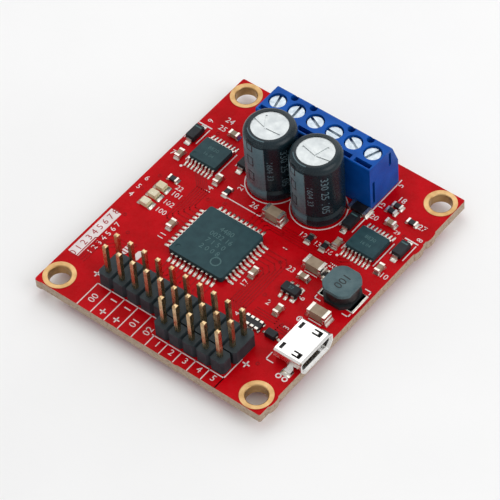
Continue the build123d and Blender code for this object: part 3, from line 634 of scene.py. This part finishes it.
# ======== tracks under the mask ========
TRACK = 0.17                            # width of a signal track
WIDE_TRACK = 0.3
PIN_PITCH = 2.54
LEAD_PITCH = 0.8
CHIP_REACH = 6.4                        # from the large chip's middle to the ends of its pads
CORNER = 0.8                            # length of a 45-degree corner
SMALL_CORNER = 0.3
LANE = 0.42                             # distance between neighbouring tracks
WIDE_LANE = 0.45
FAN = 0.65                              # the same where they spread out
VIA_RADIUS, VIA_RING = 0.24, 0.16
VIA_RISE = 1.3 * COPPER
VIAS = (
    (-18.6, 1.6), (-18.0, -7.2), (-15.4, -9.6), (-12.9, -10.9), (-9.9, 2.2), (-7.4, 3.0),
    (-1.2, 3.9), (3.1, 3.4), (5.3, 1.5), (6.1, -0.9), (8.0, -6.9), (6.2, -10.3), (9.2, -7.4),
    (13.4, -9.8), (13.6, 3.7), (16.4, 4.1), (18.2, -8.3), (12.2, 4.2), (-12.2, 13.9),
    (-16.9, 13.2), (-13.1, 5.6), (17.6, 13.4), (19.3, 16.3), (12.4, -15.4), (14.9, -17.2),
    (-14.2, -14.2), (-17.0, -13.1), (-19.2, -1.9), (-14.2, -1.5), (11.9, -18.8),
)


def header_columns():
    """X of the ten columns of the two-row header."""
    return sorted({round((low.x + high.x) / 2, 3) for low, high in solids("header_pins_dual")})


def chip_tracks(track):
    """Bundles that leave the large chip on its four sides."""
    mcu = centre("microcontroller_body")
    left, right = mcu.x - CHIP_REACH, mcu.x + CHIP_REACH
    front, back = mcu.y - CHIP_REACH, mcu.y + CHIP_REACH
    for i in range(11):
        x = mcu.x + (i - 5) * LEAD_PITCH
        spread_x = x + SMALL_CORNER * (i - 5)
        track((x, front), (x, -12.4), (spread_x, -13.4), (spread_x, -14.5))
    for i in range(7):
        y = mcu.y + (5 - i) * LEAD_PITCH
        lane = 7.3 - WIDE_LANE * i
        track((right, y), (lane - CORNER, y), (lane, y - CORNER), (lane, -10.4), (lane + 0.9, -11.3))
    for i in range(6):
        y = mcu.y + (5 - i) * LEAD_PITCH
        lane = -10.7 - LANE * i
        goal = -12.5 - FAN * i
        bend = 3.2
        track(
            (left, y), (lane + SMALL_CORNER, y), (lane, y + SMALL_CORNER),
            (lane, bend), (goal, bend + lane - goal),
        )
    for i in range(5):
        x = mcu.x + (5 - i) * LEAD_PITCH
        lane = 3.0 + LANE * i
        goal = 15.9 - FAN * i
        track(
            (x, back), (x, lane - SMALL_CORNER), (x + SMALL_CORNER, lane),
            (goal - CORNER, lane), (goal, lane + CORNER),
        )


def make_tracks():
    """Raised tracks and covered vias on both sides of the board."""
    shapes = Shapes()

    def track(*points):
        shapes.path(points, TRACK, TOP, TOP + COPPER)

    chip_tracks(track)
    for i in range(4):                  # beside the plate at the left edge
        x = -18.6 + 0.5 * i
        y = -11.2 - 0.5 * i
        track((x, -17.5), (x, y - 2.0), (x + 2.0, y), (x + 5.2, y))
    for i in range(3):                  # towards the USB socket
        y = -9.3 - WIDE_LANE * i
        track((8.6, y), (12.4, y), (12.4 + CORNER, y - CORNER), (15.6, y - CORNER))

    columns = header_columns()
    for column in columns[:-1]:         # below the board, from between the pins to the terminals
        x = column + PIN_PITCH / 2
        goal = 0.8 * x
        run = [(x, -14.6), (x, 2.0), (goal, 2.0 + abs(goal - x)), (goal, 8.0)]
        shapes.path(run, WIDE_TRACK, -COPPER, 0)
    shapes.build("tracks", TRACK_MASK)

    vias = Shapes()
    for x, y in VIAS:
        vias.ring(x, y, VIA_RADIUS, VIA_RING, TOP, TOP + VIA_RISE, 16)
        vias.ring(x, y, VIA_RADIUS, VIA_RING, -VIA_RISE, 0, 16)
    vias.build("vias", TRACK_MASK)


# ======== printed legend ========
THIN, USUAL, BOLD = 0.16, 0.17, 0.22    # widths of the printed lines
SIGN, SIGN_ARM = 0.2, 0.45              # plus and minus at the header
CORNER_SIGN_ARM = 0.5
CELL_TOP = -19.45                       # rear end of the header's cells
CELL_ROWS = ((-23.0, True), (-20.55, False))    # rows of signs, and whether it is a plus
CORNER_SIGNS = ((13.65, -18.25), (-13.95, -18.15))
JUMPER_PADS = ((-13.45, -12.15), (-11.35, -12.15))
JUMPER_PAD = (1.0, 1.9, 0.45, 5)        # width, depth, corner and steps
RINGS = ((18.55, -17.15, 0.36, 0.2), (19.65, -17.15, 0.36, 0.2), (14.75, -7.45, 0.4, 0.18))
LETTERING = 1.25                        # size of the type for a figure of height 1
PLATE = (-19.35, -12.4, 1.9, 9.8)       # x, y, width and depth
PLATE_RISE, PLATE_SINK = 0.012, 0.01    # the plate's figures, above and below its face

LABELS = (
    # text, x, y, height, turn
    ("11", -10.95, -7.15, 1.15, 90), ("24", -16.9, 16.1, 1.15, 0), ("25", -16.9, 14.3, 1.1, 0),
    ("9", -19.3, 14.5, 1.1, 90), ("7", -20.0, 6.3, 1.1, 0), ("14", -10.95, 3.75, 1.1, 90),
    ("21", -7.3, 6.9, 1.0, 90), ("22", -14.6, 1.3, 1.0, 0), ("26", -3.6, 5.2, 1.15, 0),
    ("12", 5.6, 5.0, 1.1, 0), ("13", 8.3, 4.9, 1.0, 0), ("16", 10.6, 4.65, 1.0, 0),
    ("28", 12.6, 2.95, 1.0, 0), ("23", 8.15, -1.05, 1.1, 0), ("1", 5.2, 1.5, 1.1, 90),
    ("17", 4.35, -7.0, 1.1, 90), ("6", 12.75, -4.35, 1.1, 90), ("2", 9.3, -7.75, 1.1, 0),
    ("10", 19.7, 5.75, 1.1, 0), ("5", 11.45, 20.95, 1.1, 90), ("15", 11.45, 16.2, 1.1, 90),
    ("18", 13.3, 18.75, 1.1, 0), ("20", 11.95, 13.75, 1.1, 0), ("29", 16.4, 13.35, 0.75, 0),
    ("8", 19.95, 14.15, 1.1, 90), ("27", 18.85, 16.15, 1.1, 0), ("3", 14.25, -9.85, 1.1, 90),
    ("4", 7.0, -11.95, 1.0, 90),
)
LIGHT_LABELS = (("101", -14.1, 0.05), ("102", -14.1, -1.85), ("100", -14.1, -3.65))
EDGE_LABELS = (("6", -19.8, 0.05), ("5", -19.8, -1.85), ("4", -19.8, -3.65))
TURNED_CELLS = ((0, "00"), (3, "01"), (4, "02"))            # column and text, read from the side
UPRIGHT_CELLS = ((5, "1"), (6, "2"), (7, "3"), (8, "4"), (9, "5"))


def on_top(x, y, step):
    """A point on the component side; step 1 is the ink's upper face."""
    return (x, y, TOP + (INK if step else 0))


def header_frames(ink, low, high):
    """Cells in front of the header, with their signs."""
    pins = [(a.x + b.x) / 2 for a, b in solids("header_pins_dual")]
    first, last = min(pins), max(pins)
    pitch = (last - first) / 9
    front = board_low.y + 0.25
    single_low, single_high = box_of("header_housing_single")
    single_front = single_low.y - 0.25
    for column in range(11):
        x = first + (column - 0.5) * pitch
        ink.line((x, front), (x, CELL_TOP if column < 5 else single_front), THIN, low, high)
    ink.line((first - pitch / 2, CELL_TOP), (first + 4.3 * pitch, CELL_TOP), THIN, low, high)
    ink.line((single_low.x, single_front), (single_high.x + 0.3, single_front), THIN, low, high)
    ink.line((last + pitch / 2, front), (last + pitch / 2, -17.95), THIN, low, high)
    for y, plus in CELL_ROWS:
        for column in (1, 2):
            x = first + column * pitch + 0.15
            ink.line((x - SIGN_ARM, y), (x + SIGN_ARM, y), SIGN, low, high)
            if plus:
                ink.line((x, y - SIGN_ARM), (x, y + SIGN_ARM), SIGN, low, high)
    for x, y in CORNER_SIGNS:
        ink.line((x - CORNER_SIGN_ARM, y), (x + CORNER_SIGN_ARM, y), BOLD, low, high)
        ink.line((x, y - CORNER_SIGN_ARM), (x, y + CORNER_SIGN_ARM), BOLD, low, high)


def power_frames(ink, low, high):
    """Outlines around the capacitors, the drivers and their diodes."""
    for letter in "ab":
        low_corner, high_corner = box_of(f"capacitor_{letter}_sleeve")
        middle = (low_corner + high_corner) / 2
        radius = (high_corner.x - low_corner.x) / 2 + 0.3
        ink.ring(middle.x, middle.y, radius, USUAL, low, high, 64)
        chip_low, chip_high = box_of(f"motor_driver_{letter}_body")
        for x in (chip_low.x - 0.35, chip_high.x + 0.35):
            ink.line((x, chip_low.y - 0.3), (x, chip_high.y + 0.3), USUAL, low, high)
        ink.slab(circle(chip_low.x - 0.1, chip_low.y - 1.75, 0.22, 16), low, high)
    for a, b in solids("power_diode_bodies"):
        left, right = a.x - 0.35, b.x + 0.35
        for x in (left, right):
            ink.line((x, b.y + 0.55), (x, a.y + 0.2), USUAL, low, high)
        ink.line((left, b.y + 1.0), (right, b.y + 1.0), BOLD, low, high)


def part_frames(ink, low, high):
    """Outlines around the other components and the connectors."""
    for a, b in solids("ceramic_capacitors_large_bodies"):
        for y in (a.y - 0.3, b.y + 0.3):
            ink.line((a.x + 0.5, y), (b.x - 0.5, y), 0.15, low, high)

    coil = centre("inductor_core")
    for x_way in (-1, 1):
        for y_way in (-1, 1):
            x, y = coil.x + x_way * 3.0, coil.y + y_way * 2.75
            ink.path([(x - x_way * 1.0, y), (x, y), (x, y - y_way * 0.55)], USUAL, low, high)

    socket_low, socket_high = box_of("usb_shell")
    rear = socket_low.x - 1.0
    for y, way in ((socket_low.y + 0.2, 1), (socket_high.y - 0.2, -1)):
        ink.path([(socket_low.x + 0.2, y), (rear, y), (rear, y + way * 1.4)], USUAL, low, high)
    ink.line((14.75, -7.7), (14.75, -7.1), USUAL, low, high)
    for x, y, radius, width in RINGS:
        ink.ring(x, y, radius, width, low, high, 20)

    block = box_of("terminal_housing_b")[1]
    ink.line((block.x + 0.22, 14.4), (block.x + 0.22, 21.8), USUAL, low, high)
    for x, y in JUMPER_PADS:
        ink.slab(rectangle(x, y, *JUMPER_PAD), low, high)
    ink.line((-8.7, 4.1), (2.2, 4.1), THIN, low, high)


def make_legend():
    """White print on the component side, with plain figures as labels."""
    ink = Shapes()
    for frames in (header_frames, power_frames, part_frames):
        frames(ink, TOP, TOP + INK)
    for text, x, y, height, turn in LABELS:
        ink.digits(text, x, y, height * LETTERING, turn, on_top)
    for text, x, y in LIGHT_LABELS + EDGE_LABELS:
        ink.digits(text, x, y, 1.3, 0, on_top)
    columns = header_columns()
    for column, text in TURNED_CELLS:
        ink.digits(text, columns[column] + (0.1 if column else 0.0), -21.9, 1.6, 90, on_top)
    for column, text in UPRIGHT_CELLS:
        ink.digits(text, columns[column] + 0.1, -22.95, 1.5, 0, on_top)
    ink.slab(rectangle(*PLATE, 0.1), TOP, TOP + INK)
    ink.digits("1 2 3 4 5 6 7", -17.55, -12.5, 1.35, 90, on_top)
    ink.build("legend", LEGEND)

    gaps = Shapes()

    def on_plate(x, y, step):
        return (x, y, TOP + INK + (PLATE_RISE if step else -PLATE_SINK))

    gaps.digits("0 1 2 3 4 5 6 7 8", PLATE[0], PLATE[1], 1.55, 90, on_plate)
    gaps.build("legend_plate_figures", LEGEND_RED)


# ======== marks on the components ========
MARK_RISE, MARK_SINK = 0.006, 0.01      # laser figures, above and below the chip's face
COIL_RISE, COIL_SINK = 0.012, 0.02      # the same on the inductor
CHIP_LINES = ("4480", "0032 16", "7 1 5 0", "2 0 0 8")
CHIP_LINE_PITCH = 1.35
MINUS_HEIGHTS = (4.6, 7.9, 11.0)        # above the board
MINUS_HALF_TURN = 9                     # degrees
MINUS_EDGE, MINUS_EDGE_TURN = 0.16, 2.3     # widths of its edges: millimetres, degrees
STRIPE_RISE, FIGURE_RISE, MINUS_RISE = 0.012, 0.014, 0.03
PATCH_SINK, FIGURE_SINK = 0.03, 0.02    # how far a patch or figure starts inside the sleeve
STRIPES = (("a", -137, -66), ("b", -142, -78))  # capacitor, and the stripe's two edges in degrees


def chip_marks():
    """Faint laser figures on the moulded chips, a ring on the large chip and a band on each power
    diode.
    """
    marks = Shapes()

    def face_of(node):
        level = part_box(node)[1].z / MM
        return lambda x, y, step: (x, y, level + (MARK_RISE if step else -MARK_SINK))

    mcu = centre("microcontroller_body")
    face = face_of("microcontroller_body")
    for row, text in enumerate(CHIP_LINES):
        marks.digits(text, mcu.x + 0.2, mcu.y + 2.3 - CHIP_LINE_PITCH * row, 1.25, 0, face)
    marks.ring(mcu.x + 2.3, mcu.y - 2.9, 0.75, 0.2, face(0, 0, 0)[2], face(0, 0, 1)[2], 32)
    for letter in "ab":
        driver = centre(f"motor_driver_{letter}_body")
        face = face_of(f"motor_driver_{letter}_body")
        marks.digits("8830", driver.x, driver.y + 0.65, 0.95, 0, face)
        marks.digits("16 04", driver.x, driver.y - 0.6, 0.8, 0, face)
    regulator = centre("regulator_body")
    marks.digits("57", regulator.x, regulator.y, 0.8, 0, face_of("regulator_body"))
    for low, high in solids("power_diode_bodies"):
        band = rectangle((low.x + high.x) / 2, high.y - 0.55, high.x - low.x - 0.5, 0.22)
        marks.slab(band, high.z - MARK_SINK, high.z + MARK_RISE)
    marks.build("laser_marks", LASER)

    coil = centre("inductor_core")
    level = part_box("inductor_core")[1].z / MM

    def on_coil(x, y, step):
        return (x, y, level + (COIL_RISE if step else -COIL_SINK))

    mark = Shapes()
    mark.digits("100", coil.x, coil.y, 1.9, -95, on_coil)
    mark.build("inductor_figures", FERRITE_MARK)


def sleeve_profile(node):
    """Radius of a capacitor's sleeve at steps up its side, from the frame."""
    middle = centre(node)
    levels = {}
    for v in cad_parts[node].data.vertices:
        x, y, z = (c / MM for c in v.co)
        r = math.hypot(x - middle.x, y - middle.y)
        key = round(z, 2)
        levels[key] = max(levels.get(key, 0), r)
    kept = []
    top = max(levels)
    for z in sorted(levels):
        if levels[z] > 3.0 and z < top - 0.02:
            kept.append((z, levels[z]))
    return middle, kept


def wrapped_patch(shapes, middle, profile, start, end, proud, steps=18):
    """A thin curved patch that follows the sleeve between two angles, in degrees."""
    first = len(shapes.verts)
    across = steps + 1
    for z, radius in profile:
        for lift in (-PATCH_SINK, proud):
            for i in range(across):
                angle = math.radians(start + (end - start) * i / steps)
                r = radius + lift
                shapes.verts.append((middle.x + r * math.cos(angle), middle.y + r * math.sin(angle), z))
    rows = len(profile)

    def index(level, outer, i):
        return first + (2 * level + outer) * across + i

    for level in range(rows - 1):
        for i in range(steps):
            round_face = ((level, i), (level, i + 1), (level + 1, i + 1), (level + 1, i))
            shapes.faces.append([index(a, 1, b) for a, b in round_face])
            shapes.faces.append([index(a, 0, b) for a, b in (round_face[0], *round_face[:0:-1])])
        for i, flip in ((0, True), (steps, False)):
            corners = ((level, 0), (level, 1), (level + 1, 1), (level + 1, 0))
            side = [index(a, outer, i) for a, outer in corners]
            shapes.faces.append(side[::-1] if flip else side)
    for level, flip in ((0, False), (rows - 1, True)):
        for i in range(steps):
            corners = ((0, i), (0, i + 1), (1, i + 1), (1, i))
            rim = [index(level, outer, b) for outer, b in corners]
            shapes.faces.append(rim[::-1] if flip else rim)


def make_sleeves():
    """The pale stripe with its minus marks, and plain figures on the dark side of each sleeve."""
    for letter, start, end in STRIPES:
        middle, profile = sleeve_profile(f"capacitor_{letter}_sleeve")
        stripe = Shapes()
        wrapped_patch(stripe, middle, profile, start, end, STRIPE_RISE)
        stripe.build(f"capacitor_{letter}_stripe", STRIPE, smooth=True)

        radius = max(r for _, r in profile)
        turn = (start + end) / 2
        left, right = turn - MINUS_HALF_TURN, turn + MINUS_HALF_TURN
        minus = Shapes()
        for height in MINUS_HEIGHTS:
            z = TOP + height
            for edge in (z - 0.9, z + 0.8):
                bar = [(edge, radius), (edge + MINUS_EDGE, radius)]
                wrapped_patch(minus, middle, bar, left, right, MINUS_RISE, 6)
            post = [(z - 0.9, radius), (z + 0.9, radius)]
            for edge in (left, right - MINUS_EDGE_TURN):
                wrapped_patch(minus, middle, post, edge, edge + MINUS_EDGE_TURN, MINUS_RISE, 2)
        minus.build(f"capacitor_{letter}_minus_marks", SLEEVE, smooth=True)

        def on_side(x, y, step):
            angle = math.radians(end + 26) + y / radius
            r = radius + (FIGURE_RISE if step else -FIGURE_SINK)
            return (middle.x + r * math.cos(angle), middle.y + r * math.sin(angle), TOP + 6.9 - x)

        figures = Shapes()
        figures.digits("330 25 105", 0, 1.1, 1.7, 0, on_side)
        figures.digits("1604 33", 0, -1.1, 1.3, 0, on_side)
        figures.build(f"capacitor_{letter}_figures", STRIPE)


# ======== floor, lights and camera ========
FLOOR_HALF = 0.7                        # metres, as are the lights' places and sizes
FLOOR_GAP = 0.05                        # below the solder tails
LIGHTS = (
    # name, place, size, power
    ("key", (-0.16, 0.16, 0.34), 0.36, 0.40),
    ("fill", (0.34, 0.06, 0.28), 0.28, 0.50),
    ("back", (-0.05, 0.40, 0.20), 0.25, 0.2),
)
SURROUND = 0.72


def make_stage():
    """Pale floor under the solder tails."""
    floor_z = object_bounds()[0].z - FLOOR_GAP * MM
    mesh = bpy.data.meshes.new("floor")
    corners = rectangle(0, 0, 2 * FLOOR_HALF, 2 * FLOOR_HALF)
    mesh.from_pydata([(x, y, floor_z) for x, y in corners], [], [(0, 1, 2, 3)])
    floor = bpy.data.objects.new("floor", mesh)
    bpy.context.scene.collection.objects.link(floor)
    mesh.materials.append(finish(
        "pale_floor", (0.86, 0.86, 0.86), (0.9, 0.9, 0.9),
        (0.6, 0.8), grain=0.5, mottle=0.02, relief=0.02,
    ))


def area_light(name, place, size, power):
    """A soft square light that looks at the board's middle."""
    data = bpy.data.lights.new(name, "AREA")
    data.shape = "SQUARE"
    data.size = size
    data.energy = power
    light = bpy.data.objects.new(name, data)
    light.location = place
    light.rotation_euler = (-Vector(place)).to_track_quat("-Z", "Y").to_euler()
    bpy.context.scene.collection.objects.link(light)


def make_lights():
    """Large soft lights from the left, the right and behind, and a pale surround."""
    for name, place, size, power in LIGHTS:
        area_light(name, place, size, power)
    world = bpy.data.worlds.new("studio")
    world.use_nodes = True
    background = world.node_tree.nodes["Background"]
    background.inputs["Color"].default_value = (1, 1, 1, 1)
    background.inputs["Strength"].default_value = SURROUND
    bpy.context.scene.world = world


def make_camera():
    """A view from the azimuth, elevation and roll above."""
    azimuth, elevation = math.radians(AZIMUTH), math.radians(ELEVATION)
    level = math.cos(elevation)
    forward = Vector((-math.sin(azimuth) * level, math.cos(azimuth) * level, -math.sin(elevation)))
    data = bpy.data.cameras.new("camera")
    data.lens = LENS
    data.sensor_width = SENSOR
    data.clip_start = 0.01
    data.clip_end = 10
    camera = bpy.data.objects.new("camera", data)
    straight = forward.to_track_quat("-Z", "Y").to_matrix()
    rolled = Matrix.Rotation(math.radians(ROLL), 3, forward) @ straight
    camera.matrix_world = Matrix.LocRotScale((Vector(AIM) - forward * DISTANCE) * MM, rolled, None)
    bpy.context.scene.collection.objects.link(camera)
    bpy.context.scene.camera = camera


dress_nodes()
make_solder()
make_tracks()
make_legend()
chip_marks()
make_sleeves()
make_stage()
make_lights()
make_camera()
bpy.context.scene.view_settings.view_transform = "Standard"
